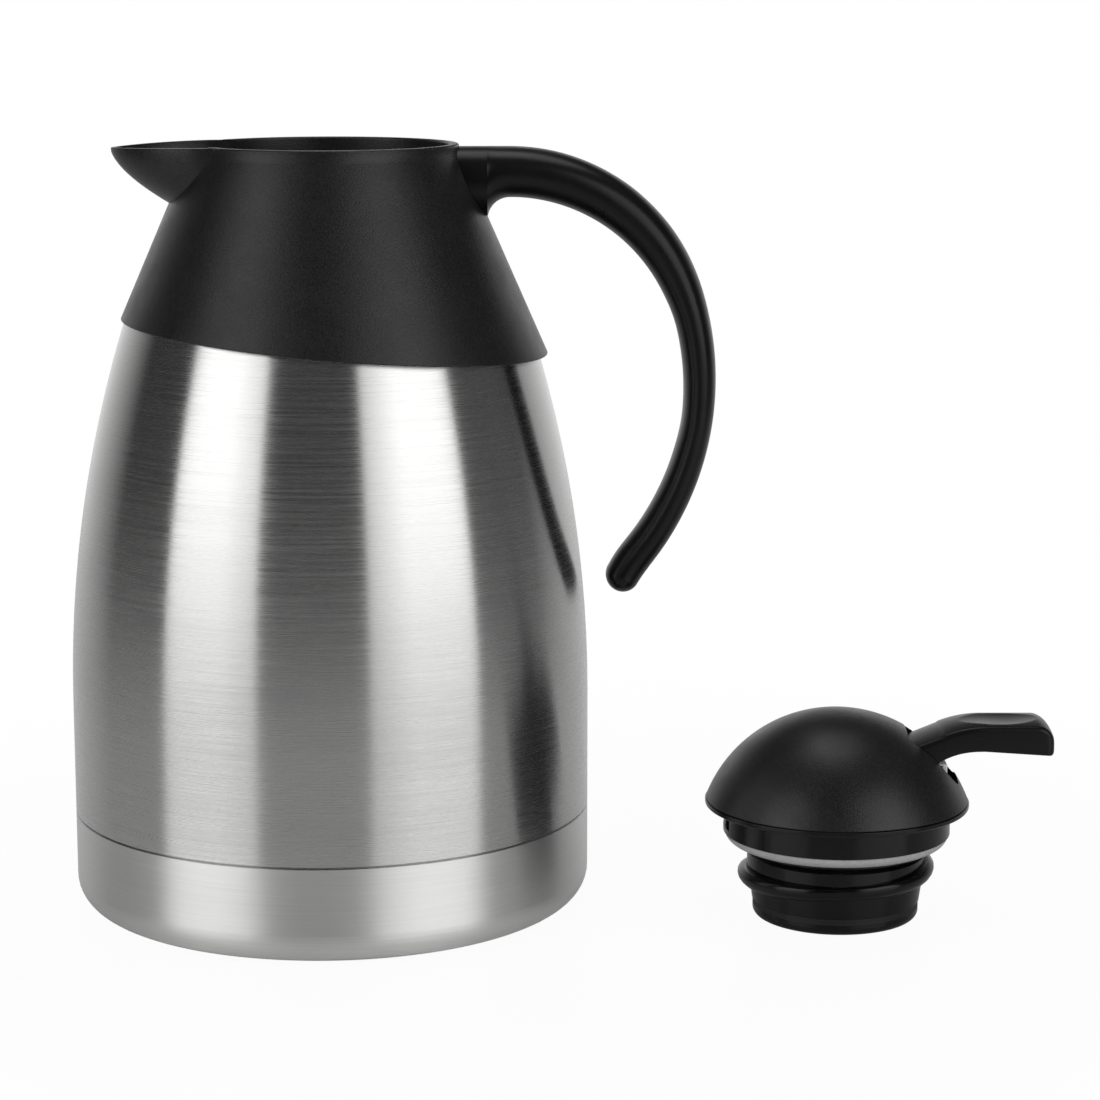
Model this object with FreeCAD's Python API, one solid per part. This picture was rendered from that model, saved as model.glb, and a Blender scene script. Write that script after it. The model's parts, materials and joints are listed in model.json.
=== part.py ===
import FreeCAD, Part
import math
import os

# Thermal jug: a double-walled steel body, a moulded collar with spout and handle,
# and a screw stopper with a thumb lever that stands on the table beside the jug.
# Sizes are millimetres, +Z is up, and the origin is the middle of the base on the table.
# The spout points to -X and the handle to +X.

# Gaps and cuts
edge_points = 8
overrun = 5.0
weld_gap = 0.05
loose_gap = 0.3
running_gap = 0.05
side_gap = 0.4

# Steel body
barrel_radius = 69.8
barrel_curve_start = 56.7
steel_wall = 0.6
vacuum_gap = 5.5
shoulder_rise = 5.6
shoulder_run = 2.0
neck_length = 11.3
neck_fillet = 3.0
neck_vacuum_gap = 1.6
vessel_floor = 19.0
vessel_corner = 14.0
skirt_bottom = 15.0
joggle = 0.65

# Base cup and vacuum bottom
cup_height = 26.15
seam_gap = 0.7
base_fillet = 8.6
base_recess_radius = 50.0
base_recess_height = 2.0
base_recess_slope = 2.5
bottom_height = 12.5
bottom_flange = 9.5
bottom_corner = 5.0
seal_hole_radius = 2.0
seal_head_radius = 5.0
seal_head_height = 1.2
getter_radius = 7.0
getter_height = 2.5
getter_offset = 30.0
getter_edge = 0.8

# Collar
rim_height = 205.1
rim_radius = 35.5
rim_wall = 2.5
rim_edge = 0.6
rim_band = 2.1
rim_band_round = 6.0
cone_lean = 23.65
collar_wall = 2.4
collar_height = 50.7
collar_edge_tilt = 5.0
collar_lip = 1.7
collar_lip_edge = 0.25
collar_lip_edge_share = 0.32
collar_inner_rise = 12.0
mouth_depth = 9.6
shelf_thickness = 2.0
mouth_tube_wall = 2.2
neck_skirt_wall = 2.2
neck_skirt_depth = 10.0

# Spout
spout_reach = 56.8
spout_drop = 0.15
spout_tip_drop = 0.9
spout_root = 25.5
spout_half_width = 21.8
spout_width_run = 29.0
spout_depth = 15.5
spout_depth_run = 16.0
spout_wall = 1.8
spout_width_power = 0.75
spout_depth_power = 0.633
spout_fullness_share = 0.62
spout_steps = 10
spout_start_share = 0.012
trough_start_share = 0.06

# Handle
handle_top_drop = 0.7
handle_straight_end = 49.0
handle_root_depth = 13.4
handle_bend_depth = 10.2
handle_grip_depth = 8.4
handle_tip_depth = 9.3
handle_root_width = 20.0
handle_grip_width = 18.0
handle_tip_width = 15.0
handle_flare_radius = 6.0
handle_flare_shares = (0.0, 0.22, 0.44, 0.66, 0.88)
handle_bend_radius = 53.5
handle_bend_turn = 71.35
handle_grip_radius = 81.3
handle_grip_turn = 53.5
handle_tail = 11.0
handle_fullness_share = 0.63
handle_bend_steps = (8, 5, 5)
handle_depth_powers = (2, 0.5, 1)
handle_spigot_width = 12.0
handle_spigot_height = 6.0
handle_spigot_top_drop = 7.2

# Neck ring and gasket
ring_wall = 1.8
ring_gap = 0.2
ring_flange = 4.2
ring_flange_thickness = 1.7
ring_depth = 16.7
ring_chamfer = 1.2
gasket_thickness = 1.2

# Lid: where it stands, and the stopper
lid_x = 136.4
lid_y = -20.0
plug_tip_radius = 22.4
plug_radius = 23.8
plug_wall = 2.2
plug_taper_height = 9.5
thread_depth = 2.5
thread_gap = 0.3
plug_height = 15.5
seal_step = 2.1
seal_step_height = 0.8
seal_groove = 1.1
stopper_seal_height = 3.0
stopper_seal_bevel = 0.6
flange_radius = 30.3
flange_height = 7.2
flange_wall = 2.3
flange_floor = 1.5
plate_overhang = 4.95
plate_thickness = 1.4
plate_under_edge = 0.5
plate_top_edge = 0.2
spigot_inset = 2.65
spigot_wall = 2.0
spigot_height = 2.2
web_thickness = 2.0
window_width = 16.0
vent_width = 6.0
guide_boss_radius = 4.6
guide_boss_rise = 2.4
guide_boss_drop = 3.0
ear_thickness = 3.0
ear_radius = 3.6

# Dome
dome_radius = 37.5
dome_height = 24.2
dome_wall = 2.2
dome_edge = 0.3
spigot_gap = 0.2
slot_inner = 18.0
slot_outer = 31.8
slot_sill = 4.2
slot_gap = 0.7
slot_corner = 4.0

# Thumb lever and carrier
lever_pivot_x = -21.0
lever_pivot_rise = 6.2
lever_width = 18.0
lever_reach = 56.8
lever_inner_end = 9.5
lever_shank_under = 10.8
lever_inner_top = 12.5
pad_top = 22.1
pad_start = 33.0
pad_start_round = 30.0
pad_tip_round = 4.6
pad_tip_under = 13.3
pad_tip_edge = 2.8
pad_under = 15.0
pad_under_round = 8.0
shank_end = 25.5
lever_blank_under = 6.0
lever_edge = 2.2
dish_length = 15.0
dish_width = 9.0
dish_depth = 1.5
dish_centre = 43.5
dish_height = 8.0
carrier_width = 15.0
carrier_end = 27.4
carrier_hook_start = 20.0
carrier_hook_drop = 4.7
carrier_arm_depth = 3.0
carrier_tongue_depth = 1.3
carrier_eye_radius = 3.5
carrier_rib_start = 16.0
carrier_rib_end = 25.0
carrier_rib_width = 6.0
carrier_rib_rise = 2.2
nose_radius = 6.0
nose_gap = 0.1
pin_radius = 1.5

# Valve
disc_radius = 22.2
disc_height = 3.0
disc_edge = 2.0
disc_recess_radius = 15.0
disc_recess = 0.8
disc_hub_radius = 5.0
disc_hub_height = 4.0
valve_gasket_height = 1.6
valve_gasket_width = 3.0
valve_gap = 0.1
stem_radius = 2.5
screw_head_radius = 3.6
screw_head_height = 1.6
screw_shank_radius = 1.2
screw_shank_length = 6.0
cap_radius = 7.6
cap_thickness = 2.2
cap_socket_wall = 1.1
cap_edge = 0.6
stem_seal_section = 1.6
spring_height = 7.0
spring_radius = 6.2
spring_wire = 0.8
spring_turns = 3.5
wire_points = 224

# Worked out from the sizes above: the jug
full_turn = 360
quarter_turn = 90
cone_slope = math.tan(math.radians(cone_lean))
lean_cosine = math.cos(math.radians(cone_lean))
mouth_radius = rim_radius - rim_wall
band_foot = rim_height - rim_band
collar_edge_height = rim_height - collar_height
shelf_top = rim_height - mouth_depth
shelf_under = shelf_top - shelf_thickness
lip_top = shelf_under - gasket_thickness
lip_under = lip_top - steel_wall
ring_bore = plug_radius + thread_depth + thread_gap
ring_outside = ring_bore + ring_wall
vessel_neck_inside = ring_outside + ring_gap
vessel_neck = vessel_neck_inside + steel_wall
shell_neck = vessel_neck + neck_vacuum_gap + steel_wall
mouth_tube = mouth_radius + mouth_tube_wall
seam_top = cup_height + seam_gap

# Worked out from the sizes above: the lid, in heights over the table
seat_height = disc_height + valve_gasket_height + valve_gap
seal_height = seat_height + plug_height
flange_under = seal_height + stopper_seal_height
plate_under = flange_under + flange_height
plate_top = plate_under + plate_thickness
plate_radius = flange_radius + plate_overhang
plug_inside = plug_tip_radius - plug_wall
seal_inside = plug_radius + seal_groove
spigot_outside = plate_radius - spigot_inset
spigot_top = plate_top + spigot_height
cap_under = plate_top + spring_height
cap_top = cap_under + cap_thickness
pivot_height = plate_top + lever_pivot_rise
seal_land = plug_radius + seal_step
lid_place = FreeCAD.Vector(lid_x, lid_y, 0)

Vector = FreeCAD.Vector
origin = Vector(0, 0, 0)
up = Vector(0, 0, 1)
across = Vector(0, 1, 0)


# Outlines in the XZ plane
def at(radius, height):
    return Vector(radius, 0, height)


def line(start, end):
    return Part.LineSegment(start, end).toShape()


def turn_of(first, second):
    return first.x * second.z - first.z * second.x


def path_edges(points, radii):
    # Straight runs, with a tangent arc at each corner whose radius is not zero
    edges = []
    start = points[0]
    for i in range(1, len(points) - 1):
        corner = points[i]
        end = corner
        if radii[i] > 0:
            back = (points[i - 1] - corner).normalize()
            ahead = (points[i + 1] - corner).normalize()
            half = back.getAngle(ahead) / 2
            reach = radii[i] / math.tan(half)
            inward = (back + ahead).normalize()
            first = corner + back * reach
            middle = corner + inward * (radii[i] / math.sin(half) - radii[i])
            end = corner + ahead * reach
            if (first - start).Length > Part.Precision.confusion():
                edges.append(line(start, first))
            edges.append(Part.Arc(first, middle, end).toShape())
        else:
            edges.append(line(start, corner))
        start = end
    edges.append(line(start, points[-1]))
    return edges


def closed_edges(points, radii):
    start = (points[-1] + points[0]) * 0.5
    return path_edges([start] + points + [start], [0] + radii + [0])


def crossing(point, along, other_point, other_along):
    share = turn_of(other_point - point, other_along) / turn_of(along, other_along)
    return point + along * share


def shifted_path(points, radii, distance):
    # The same path moved to its left side, with its corner radii to match
    runs = []
    for start, end in zip(points, points[1:]):
        along = (end - start).normalize()
        runs.append((start + Vector(-along.z, 0, along.x) * distance, along))
    moved = [runs[0][0]]
    moved_radii = [0]
    for i in range(1, len(runs)):
        moved.append(crossing(*runs[i - 1], *runs[i]))
        bend = math.copysign(distance, turn_of(runs[i - 1][1], runs[i][1]))
        moved_radii.append(max(radii[i] - bend, 0) if radii[i] > 0 else 0)
    last = runs[-1][1]
    moved.append(points[-1] + Vector(-last.z, 0, last.x) * distance)
    return moved, moved_radii + [0]


def outline_face(edges):
    return Part.Face(Part.Wire(Part.__sortEdges__(edges)))


def turned(edges):
    solid = outline_face(edges).revolve(origin, up, full_turn)
    if solid.Volume < 0:
        solid.reverse()
    return solid


def sheet_metal(points, radii, wall):
    # A turned sheet whose outer face follows the path
    moved, moved_radii = shifted_path(points, radii, wall)
    edges = path_edges(points, radii) + path_edges(moved, moved_radii)
    edges += [line(points[0], moved[0]), line(points[-1], moved[-1])]
    return turned(edges)


def ring(inside, outside, low, high):
    outline = [at(inside, low), at(outside, low), at(outside, high), at(inside, high)]
    return turned(closed_edges(outline, [0] * len(outline)))


def rod(radius, low, high):
    return Part.makeCylinder(radius, high - low, at(0, low), up)


def across_rod(middle, radius, width):
    return Part.makeCylinder(radius, width, middle - across * (width / 2), across)


def block(low_x, high_x, width, low, high):
    corner = Vector(low_x, -width / 2, low)
    return Part.makeBox(high_x - low_x, width, high - low, corner)


def extruded(edges, width):
    # An XZ outline with its thickness across the jug, centred on the middle plane
    solid = outline_face(edges).extrude(across * width)
    solid.translate(across * (-width / 2))
    return solid


def oval_edges(centre, side, rise, half_width, half_depth, fullness, quarters):
    # Quarter arcs of an oval, as curves that a fullness share swells towards a rectangle
    turns = ((1, 0), (0, -1), (-1, 0), (0, 1), (1, 0))
    edges = []
    for (a, b), (c, d) in list(zip(turns, turns[1:]))[:quarters]:
        start = centre + side * (a * half_width) + rise * (b * half_depth)
        end = centre + side * (c * half_width) + rise * (d * half_depth)
        corner = centre + side * ((a + c) * half_width) + rise * ((b + d) * half_depth)
        curve = Part.BezierCurve()
        pull = (corner - start) * fullness
        push = (corner - end) * fullness
        curve.setPoles([start, start + pull, end + push, end])
        edges.append(curve.toShape())
    return edges


# Steel body
def cone_radius(height):
    # The collar's outside: upright along the band under the rim, then leaning outwards
    return rim_radius + max(band_foot - height, 0) * cone_slope


collar_seat_radius = cone_radius(collar_edge_height) - collar_lip
barrel_drop = barrel_radius - collar_seat_radius
barrel_curve_rise = collar_edge_height - barrel_curve_start
barrel_curve_radius = (barrel_curve_rise ** 2 + barrel_drop ** 2) / (2 * barrel_drop)
shoulder_start = collar_edge_height + shoulder_rise
barrel_lean = math.asin((shoulder_start - barrel_curve_start) / barrel_curve_radius)


def steel_radius(height, gap):
    # Radius, at a height on the curved part of the barrel, of a face a gap outside the steel
    middle = barrel_radius - barrel_curve_radius
    return middle + math.sqrt((barrel_curve_radius + gap) ** 2 - (height - barrel_curve_start) ** 2)


def shell_path():
    skirt_radius = barrel_radius - joggle
    curve_reach = barrel_curve_radius * math.tan(barrel_lean / 2)
    curve_corner = at(barrel_radius, barrel_curve_start + curve_reach)
    leaning = at(-math.sin(barrel_lean), math.cos(barrel_lean))
    shoulder = curve_corner + leaning * (curve_reach + shoulder_run)
    neck_corner = at(shell_neck, lip_top - neck_length)
    points = [
        at(skirt_radius, skirt_bottom),
        at(skirt_radius, seam_top - joggle),
        at(barrel_radius, seam_top),
        curve_corner,
        shoulder,
        neck_corner,
        at(shell_neck, lip_under),
    ]
    shoulder_turn = leaning.getAngle(neck_corner - shoulder)
    shoulder_fillet = shoulder_run / math.tan(shoulder_turn / 2)
    return points, [0, 0, 0, barrel_curve_radius, shoulder_fillet, neck_fillet, 0]


def make_outer_shell():
    points, radii = shell_path()
    return sheet_metal(points, radii, steel_wall)


def make_inner_vessel():
    points, radii = shell_path()
    moved, moved_radii = shifted_path(points[2:], radii[2:], steel_wall + vacuum_gap)
    curve_corner, shoulder, shifted_neck = moved[1:4]
    slope = (shifted_neck - shoulder).normalize()
    neck_corner = crossing(shoulder, slope, at(vessel_neck, 0), up)
    path = [
        at(0, vessel_floor),
        at(curve_corner.x, vessel_floor),
        curve_corner,
        shoulder,
        neck_corner,
        at(vessel_neck, lip_under),
        at(shell_neck, lip_under),
    ]
    return sheet_metal(path, [0, vessel_corner] + moved_radii[1:3] + [neck_fillet, 0, 0], steel_wall)


def make_base_cup():
    recess_edge = base_recess_radius + base_recess_slope
    path = [
        at(0, base_recess_height),
        at(base_recess_radius, base_recess_height),
        at(recess_edge, 0),
        at(barrel_radius, 0),
        at(barrel_radius, cup_height),
    ]
    return sheet_metal(path, [0, 0, 0, base_fillet, 0], steel_wall)


def make_vacuum_bottom():
    flange_outside = barrel_radius - joggle - steel_wall - weld_gap
    path = [
        at(seal_hole_radius, bottom_height),
        at(flange_outside, bottom_height),
        at(flange_outside, bottom_height + bottom_flange),
    ]
    return sheet_metal(path, [0, bottom_corner, 0], steel_wall)


def make_vacuum_seal():
    plug = rod(seal_hole_radius - weld_gap, bottom_height, bottom_height + steel_wall)
    head = rod(seal_head_radius, bottom_height - seal_head_height, bottom_height)
    return plug.fuse(head).removeSplitter()


def make_getter():
    floor = bottom_height + steel_wall
    outline = [at(0, floor), at(getter_radius, floor), at(getter_radius, floor + getter_height)]
    outline.append(at(0, floor + getter_height))
    capsule = turned(closed_edges(outline, [0, 0, getter_edge, 0]))
    capsule.translate(Vector(getter_offset, 0, 0))
    return capsule


# Collar with its spout
def spout_section(run, inset):
    # Half an oval, open side up, at a distance back from the spout's tip
    rounding = 1 - (1 - run / spout_width_run) ** 2
    half_width = spout_half_width * rounding ** spout_width_power - inset
    depth = spout_depth * (run / spout_depth_run) ** spout_depth_power - inset
    droop = spout_tip_drop * (1 - run / (spout_reach - spout_root)) ** 2
    centre = Vector(run - spout_reach, 0, rim_height - spout_drop - droop)
    return centre, half_width, depth


def spout_solid(start_share, inset, rise):
    # Sections that crowd together towards the tip, lofted into the beak or its trough
    sections = []
    for step in range(spout_steps + 1):
        share = start_share + (1 - start_share) * (step / spout_steps) ** 2
        centre, half_width, depth = spout_section((spout_reach - spout_root) * share, inset)
        edges = oval_edges(centre, across, up, half_width, depth, spout_fullness_share, 2)
        left = centre - across * half_width
        right = centre + across * half_width
        top = up * rise
        if rise > 0:
            edges += [line(left, left + top), line(left + top, right + top), line(right + top, right)]
        else:
            edges.append(line(left, right))
        sections.append(Part.Wire(edges))
    return Part.makeLoft(sections, True)


def collar_inner_edges(lowest):
    # The inside of the skirt: along the steel, then parallel to the cone up to the mouth tube
    wall_across = collar_wall / lean_cosine
    middle = (lowest + shoulder_start) / 2
    seat = [at(steel_radius(height, loose_gap), height) for height in (lowest, middle, shoulder_start)]
    shoulder = shifted_path(*shell_path(), -loose_gap)[0][4]
    inner_start = shoulder_start + collar_inner_rise
    inner_top = band_foot - (mouth_tube + wall_across - rim_radius) / cone_slope
    tops = [
        seat[2],
        shoulder,
        at(cone_radius(inner_start) - wall_across, inner_start),
        at(mouth_tube, inner_top),
        at(mouth_tube, shelf_under),
    ]
    return [Part.Arc(*seat).toShape()] + path_edges(tops, [0] * len(tops))


def make_collar(handle_spigot):
    tilt = math.radians(collar_edge_tilt)
    foot_radius = cone_radius(collar_edge_height)
    low_side = collar_edge_height - foot_radius / (1 / math.tan(tilt) - cone_slope)
    high_side = collar_edge_height + foot_radius / (1 / math.tan(tilt) + cone_slope)
    lowest = low_side - collar_lip
    thinnest = min(cone_radius(side) - steel_radius(side, loose_gap) for side in (low_side, high_side))
    skirt_inside = shell_neck + loose_gap
    skirt_outside = skirt_inside + neck_skirt_wall
    skirt_end = shelf_under - neck_skirt_depth
    mouth = [
        at(mouth_tube, shelf_under),
        at(skirt_outside, shelf_under),
        at(skirt_outside, skirt_end),
        at(skirt_inside, skirt_end),
        at(skirt_inside, shelf_under),
        at(vessel_neck_inside, shelf_under),
        at(vessel_neck_inside, shelf_top),
        at(mouth_radius, shelf_top),
        at(mouth_radius, rim_height),
        at(rim_radius, rim_height),
        at(rim_radius, band_foot),
        at(cone_radius(lowest), lowest),
        at(steel_radius(lowest, loose_gap), lowest),
    ]
    radii = [0] * 8 + [rim_edge, rim_edge, rim_band_round, 0, 0]
    collar = turned(collar_inner_edges(lowest) + path_edges(mouth, radii))
    below = block(-2 * barrel_radius, 2 * barrel_radius, 4 * barrel_radius, -barrel_radius, 0)
    below.rotate(origin, across, collar_edge_tilt)
    below.translate(up * collar_edge_height)
    collar = collar.cut(below)
    normal = Vector(math.sin(tilt), 0, math.cos(tilt))
    seat = at(0, collar_edge_height)
    lip = [edge for edge in collar.Edges
           if all(abs((point - seat).dot(normal)) < weld_gap for point in edge.discretize(edge_points))]
    collar = collar.makeFillet(min(collar_lip_edge, thinnest * collar_lip_edge_share), lip)
    beak = spout_solid(spout_start_share, 0, 0).cut(rod(mouth_radius, 0, rim_height))
    trough = spout_solid(trough_start_share, spout_wall, overrun)
    trough = trough.cut(block(-spout_reach, 0, 2 * spout_reach, 0, shelf_top))
    return collar.fuse(beak).cut(trough).cut(handle_spigot).removeSplitter()


# Handle
def handle_section(outer, heading, depth, width):
    # An oval that lies inward of a point on the handle's outer line
    rise = at(-math.sin(heading), math.cos(heading))
    middle = outer - rise * (depth / 2)
    return Part.Wire(oval_edges(middle, across, rise, width / 2, depth / 2, handle_fullness_share, 4))


def make_handle_root():
    # The straight root, whose underside flares down into the cone along a quarter round
    top = rim_height - handle_top_drop
    sections = []
    for share in handle_flare_shares:
        angle = math.radians(quarter_turn) * share
        run = handle_straight_end - handle_flare_radius * math.sin(angle)
        depth = handle_root_depth + handle_flare_radius * (1 - math.cos(angle))
        sections.append(handle_section(at(run, top), 0, depth, handle_root_width))
    inward = at(rim_radius - collar_wall - run, 0)
    return Part.makeLoft(sections, True).fuse(Part.Face(sections[-1]).extrude(inward))


def make_handle_grip():
    # The bow, from the straight root to its free end
    place = at(handle_straight_end, rim_height - handle_top_drop)
    heading = 0
    sections = [handle_section(place, heading, handle_root_depth, handle_root_width)]
    bends = (
        (handle_bend_radius, handle_bend_turn, handle_root_depth, handle_bend_depth,
         handle_root_width, handle_grip_width),
        (handle_grip_radius, handle_grip_turn / 2, handle_bend_depth, handle_grip_depth,
         handle_grip_width, handle_grip_width),
        (handle_grip_radius, handle_grip_turn / 2, handle_grip_depth, handle_tip_depth,
         handle_grip_width, handle_tip_width),
    )
    for steps, power, bend in zip(handle_bend_steps, handle_depth_powers, bends):
        radius, turn, first_depth, last_depth, first_width, last_width = bend
        centre = place + at(math.sin(heading), -math.cos(heading)) * radius
        begin = heading
        for step in range(steps):
            share = (step + 1) / steps
            heading = begin - math.radians(turn) * share
            place = centre + at(-math.sin(heading), math.cos(heading)) * radius
            depth = first_depth + (last_depth - first_depth) * share ** power
            width = first_width + (last_width - first_width) * share
            sections.append(handle_section(place, heading, depth, width))
    place += at(math.cos(heading), math.sin(heading)) * handle_tail
    sections.append(handle_section(place, heading, handle_tip_depth, handle_tip_width))
    return Part.makeLoft(sections, True).fuse(make_handle_end(place, heading))


def make_handle_end(outer, heading):
    # Half of the last section turned about its long axis
    rise = at(-math.sin(heading), math.cos(heading))
    middle = outer - rise * (handle_tip_depth / 2)
    half_width = handle_tip_width / 2
    edges = oval_edges(middle, across, rise, half_width, handle_tip_depth / 2, handle_fullness_share, 2)
    half = outline_face(edges + [line(middle - across * half_width, middle + across * half_width)])
    end = half.revolve(middle, across, -full_turn / 2)
    if end.Volume < 0:
        end.reverse()
    return end


def make_handle(spigot):
    # The root is cut to the collar's outside, taken as a plain turned solid
    foot = collar_edge_height
    collar_outside = [
        at(0, foot),
        at(cone_radius(foot), foot),
        at(rim_radius, band_foot),
        at(rim_radius, rim_height),
        at(0, rim_height),
    ]
    cone = turned(closed_edges(collar_outside, [0, 0, rim_band_round, 0, 0]))
    handle = make_handle_root().fuse(make_handle_grip()).cut(cone)
    return handle.fuse(spigot).removeSplitter()


def make_handle_spigot(gap):
    # A locating block between the handle's root and the collar's mouth tube
    top = rim_height - handle_spigot_top_drop + gap
    low = top - handle_spigot_height - 2 * gap
    inner = mouth_tube + loose_gap - gap
    outer = cone_radius(low) + handle_flare_radius
    return block(inner, outer, handle_spigot_width + 2 * gap, low, top)


# Neck ring and gasket
def make_neck_ring():
    flange_top = shelf_top + ring_flange_thickness
    outline = [
        at(ring_bore, shelf_top - ring_depth + ring_flange_thickness),
        at(ring_outside, shelf_top - ring_depth + ring_flange_thickness),
        at(ring_outside, shelf_top),
        at(ring_outside + ring_flange, shelf_top),
        at(ring_outside + ring_flange, flange_top),
        at(ring_bore + ring_chamfer, flange_top),
        at(ring_bore, flange_top - ring_chamfer),
    ]
    return turned(closed_edges(outline, [0, 0, 0, 0, rim_edge / 2, 0, 0]))


def make_neck_gasket():
    return ring(vessel_neck_inside + weld_gap, shell_neck, lip_top, shelf_under)


# Stopper
def make_stopper_body():
    ceiling = plate_top - web_thickness
    flange_inside = flange_radius - flange_wall
    step_low = seal_height - seal_step_height
    outline = [
        at(plug_inside, seat_height),
        at(plug_tip_radius, seat_height),
        at(plug_radius, seat_height + plug_taper_height),
        at(plug_radius, step_low - seal_step),
        at(seal_land, step_low),
        at(seal_land, seal_height),
        at(seal_inside, seal_height),
        at(seal_inside, flange_under),
        at(flange_radius, flange_under),
        at(flange_radius, plate_under),
        at(plate_radius, plate_under),
        at(plate_radius, plate_top),
        at(spigot_outside, plate_top),
        at(spigot_outside, spigot_top),
        at(spigot_outside - spigot_wall, spigot_top),
        at(spigot_outside - spigot_wall, plate_top),
        at(guide_boss_radius, plate_top),
        at(guide_boss_radius, plate_top + guide_boss_rise),
        at(stem_radius + running_gap, plate_top + guide_boss_rise),
        at(stem_radius + running_gap, ceiling),
        at(stem_radius + stem_seal_section, ceiling),
        at(stem_radius + stem_seal_section, ceiling - guide_boss_drop),
        at(guide_boss_radius + stem_seal_section, ceiling - guide_boss_drop),
        at(guide_boss_radius + stem_seal_section, ceiling),
        at(flange_inside, ceiling),
        at(flange_inside, flange_under + flange_floor),
        at(plug_inside, flange_under + flange_floor),
    ]
    radii = [0] * 10 + [plate_under_edge, plate_top_edge] + [0] * (len(outline) - 12)
    body = turned(closed_edges(outline, radii))
    sill = flange_under + flange_floor
    body = body.cut(block(-flange_radius - overrun, -plug_inside, window_width, sill, ceiling))
    body = body.cut(block(plug_inside, flange_radius + overrun, vent_width, sill, ceiling))
    for side in (-1, 1):
        body = body.fuse(make_ear(side))
    pin_hole = across_rod(pivot_point(), pin_radius + weld_gap, pin_length() + overrun)
    return body.cut(pin_hole).removeSplitter()


def pivot_point():
    return at(lever_pivot_x, pivot_height)


def make_ear(side):
    middle = carrier_width / 2 + side_gap + ear_thickness / 2
    low_x = lever_pivot_x - ear_radius
    post = block(low_x, low_x + 2 * ear_radius, ear_thickness, plate_top, pivot_height)
    ear = post.fuse(across_rod(pivot_point(), ear_radius, ear_thickness)).removeSplitter()
    ear.translate(across * (side * middle))
    return ear


def make_stopper_seal():
    lip = flange_radius - stopper_seal_bevel
    outline = [
        at(seal_inside, seal_height),
        at(seal_land + stopper_seal_bevel, seal_height),
        at(lip, flange_under - stopper_seal_bevel),
        at(lip, flange_under),
        at(seal_inside, flange_under),
    ]
    return turned(closed_edges(outline, [0, 0, stopper_seal_bevel / 2, 0, 0]))


def make_stem_seal():
    ceiling = plate_top - web_thickness
    inside = stem_radius + running_gap
    return ring(inside, stem_radius + stem_seal_section, ceiling - stem_seal_section, ceiling)


def pin_length():
    return carrier_width + 2 * (side_gap + ear_thickness)


def make_lever_pin():
    return across_rod(pivot_point(), pin_radius, pin_length())


# Dome over the stopper
def dome_arc(radius, foot_height):
    # From the axis down to a height, on a sphere about the dome's middle
    middle = plate_top + dome_height - dome_radius
    drop = foot_height - middle
    lean = (math.asin(drop / radius) + math.radians(quarter_turn)) / 2
    apex = at(0, middle + radius)
    bulge = at(math.cos(lean), math.sin(lean)) * radius + at(0, middle)
    foot = at(math.sqrt(radius ** 2 - drop ** 2), foot_height)
    return Part.Arc(apex, bulge, foot).toShape(), apex, foot


def make_dome():
    # A round cap that stands on the plate, with a rebate over the plate's spigot
    rebate = spigot_outside + spigot_gap
    rebate_top = spigot_top + spigot_gap
    outer, outer_apex, outer_foot = dome_arc(dome_radius, plate_top)
    inner, inner_apex, inner_foot = dome_arc(dome_radius - dome_wall, rebate_top)
    foot = [outer_foot, at(rebate, plate_top), at(rebate, rebate_top), inner_foot]
    edges = [outer, inner, line(inner_apex, outer_apex)] + path_edges(foot, [0] * len(foot))
    dome = turned(edges)
    foot_edges = [edge for edge in dome.Edges
                  if edge.isClosed() and (edge.Vertexes[0].Point - outer_foot).Length < weld_gap]
    return dome.makeFillet(dome_edge, foot_edges).cut(make_lever_slot())


def make_lever_slot():
    width = lever_width + 2 * slot_gap
    slot = block(slot_inner, slot_outer, width, plate_top + slot_sill, plate_top + dome_height)
    outer_corners = [edge for edge in slot.Edges
                     if all(abs(vertex.X - slot_outer) < weld_gap for vertex in edge.Vertexes)
                     and abs(edge.Vertexes[0].Z - edge.Vertexes[-1].Z) > weld_gap]
    return slot.makeFillet(slot_corner, outer_corners)


# Thumb lever and its carrier
def make_thumb_lever():
    # A side outline with its rims rounded, then the shank cut flat where it lies on the carrier
    base = plate_top
    shank_slope = (pad_under - lever_shank_under) / (pad_start - shank_end)
    blank_end = shank_end - (lever_shank_under - lever_blank_under) / shank_slope
    outline = [
        at(lever_inner_end, base + lever_inner_top),
        at(pad_start, base + pad_top),
        at(lever_reach, base + pad_top),
        at(lever_reach, base + pad_tip_under),
        at(pad_start, base + pad_under),
        at(blank_end, base + lever_blank_under),
        at(lever_inner_end, base + lever_blank_under),
    ]
    radii = [0, pad_start_round, pad_tip_round, pad_tip_edge, pad_under_round, 0, 0]
    lever = extruded(closed_edges(outline, radii), lever_width)
    half = lever_width / 2
    rims = [edge for edge in lever.Edges
            if all(abs(abs(vertex.Y) - half) < weld_gap for vertex in edge.Vertexes)
            and abs(edge.Vertexes[0].Y - edge.Vertexes[-1].Y) < weld_gap
            and edge.BoundBox.XMax > blank_end + weld_gap]
    lever = lever.makeFillet(lever_edge, rims)
    shank_cut = block(lever_inner_end - overrun, pad_start, lever_width, base, base + lever_shank_under)
    scale = FreeCAD.Matrix()
    scale.scale(dish_length, dish_width, dish_height)
    dish = Part.makeSphere(1).transformGeometry(scale)
    dish.translate(at(dish_centre, base + pad_top + dish_height - dish_depth))
    return lever.cut(shank_cut).cut(dish).cut(carrier_rib(weld_gap))


def carrier_rib(gap):
    low = plate_top + lever_shank_under - carrier_tongue_depth
    high = plate_top + lever_shank_under + carrier_rib_rise + gap
    return block(carrier_rib_start - gap, carrier_rib_end + gap, carrier_rib_width + 2 * gap, low, high)


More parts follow.
